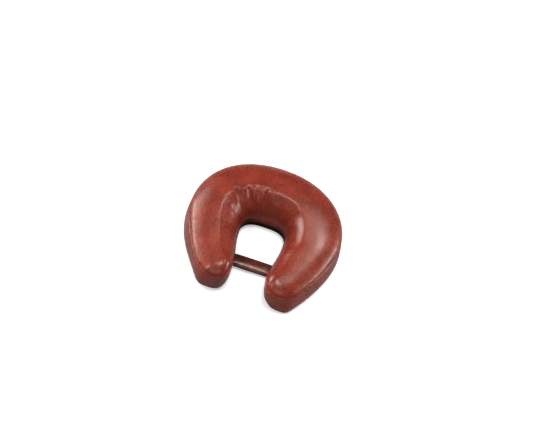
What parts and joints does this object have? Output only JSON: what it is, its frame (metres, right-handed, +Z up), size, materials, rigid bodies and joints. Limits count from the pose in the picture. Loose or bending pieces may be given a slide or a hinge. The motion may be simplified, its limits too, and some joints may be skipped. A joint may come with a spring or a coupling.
{
  "type": "face cradle cushion",
  "caption": "Horseshoe face cushion for a massage table: sculpted foam in a sewn vinyl cover, with an open middle and a padded strap across the arms.",
  "frame": {"origin": "under the middle of the cushion's box, on the plane that the cushion rests on", "axes": "+Z up out of the padded face; +Y towards the closed back of the horseshoe, so the two arms reach towards -Y; +X across the arms, to the right as seen from the open side"},
  "size_m": [0.2998, 0.289, 0.079],
  "materials": {
    "cover_vinyl": "brown-red upholstery vinyl with a fine grain and a satin gloss",
    "lining_vinyl": "dark brown upholstery vinyl that lines the hole",
    "base_vinyl": "darker brown-red upholstery vinyl, matt",
    "strap_vinyl": "brown-red upholstery vinyl, satin",
    "firm_foam": "open-cell foam, firm",
    "support_foam": "open-cell foam, medium",
    "comfort_foam": "open-cell foam, soft",
    "webbing": "flat woven webbing",
    "loop_pile": "looped pile of a hook-and-loop tape"
  },
  "bodies": {
    "root": {"top_cover": "cover_vinyl", "outer_band": "cover_vinyl", "inner_band": "lining_vinyl", "base_panel": "base_vinyl", "base_foam": "firm_foam", "support_foam": "support_foam", "comfort_foam": "comfort_foam", "strap_sleeve": "strap_vinyl", "strap_padding": "comfort_foam", "strap_webbing": "webbing", "strap_patch_left": "strap_vinyl", "strap_patch_right": "strap_vinyl", "loop_tape_back": "loop_pile", "loop_tape_left": "loop_pile", "loop_tape_right": "loop_pile"}
  },
  "joints": []
}
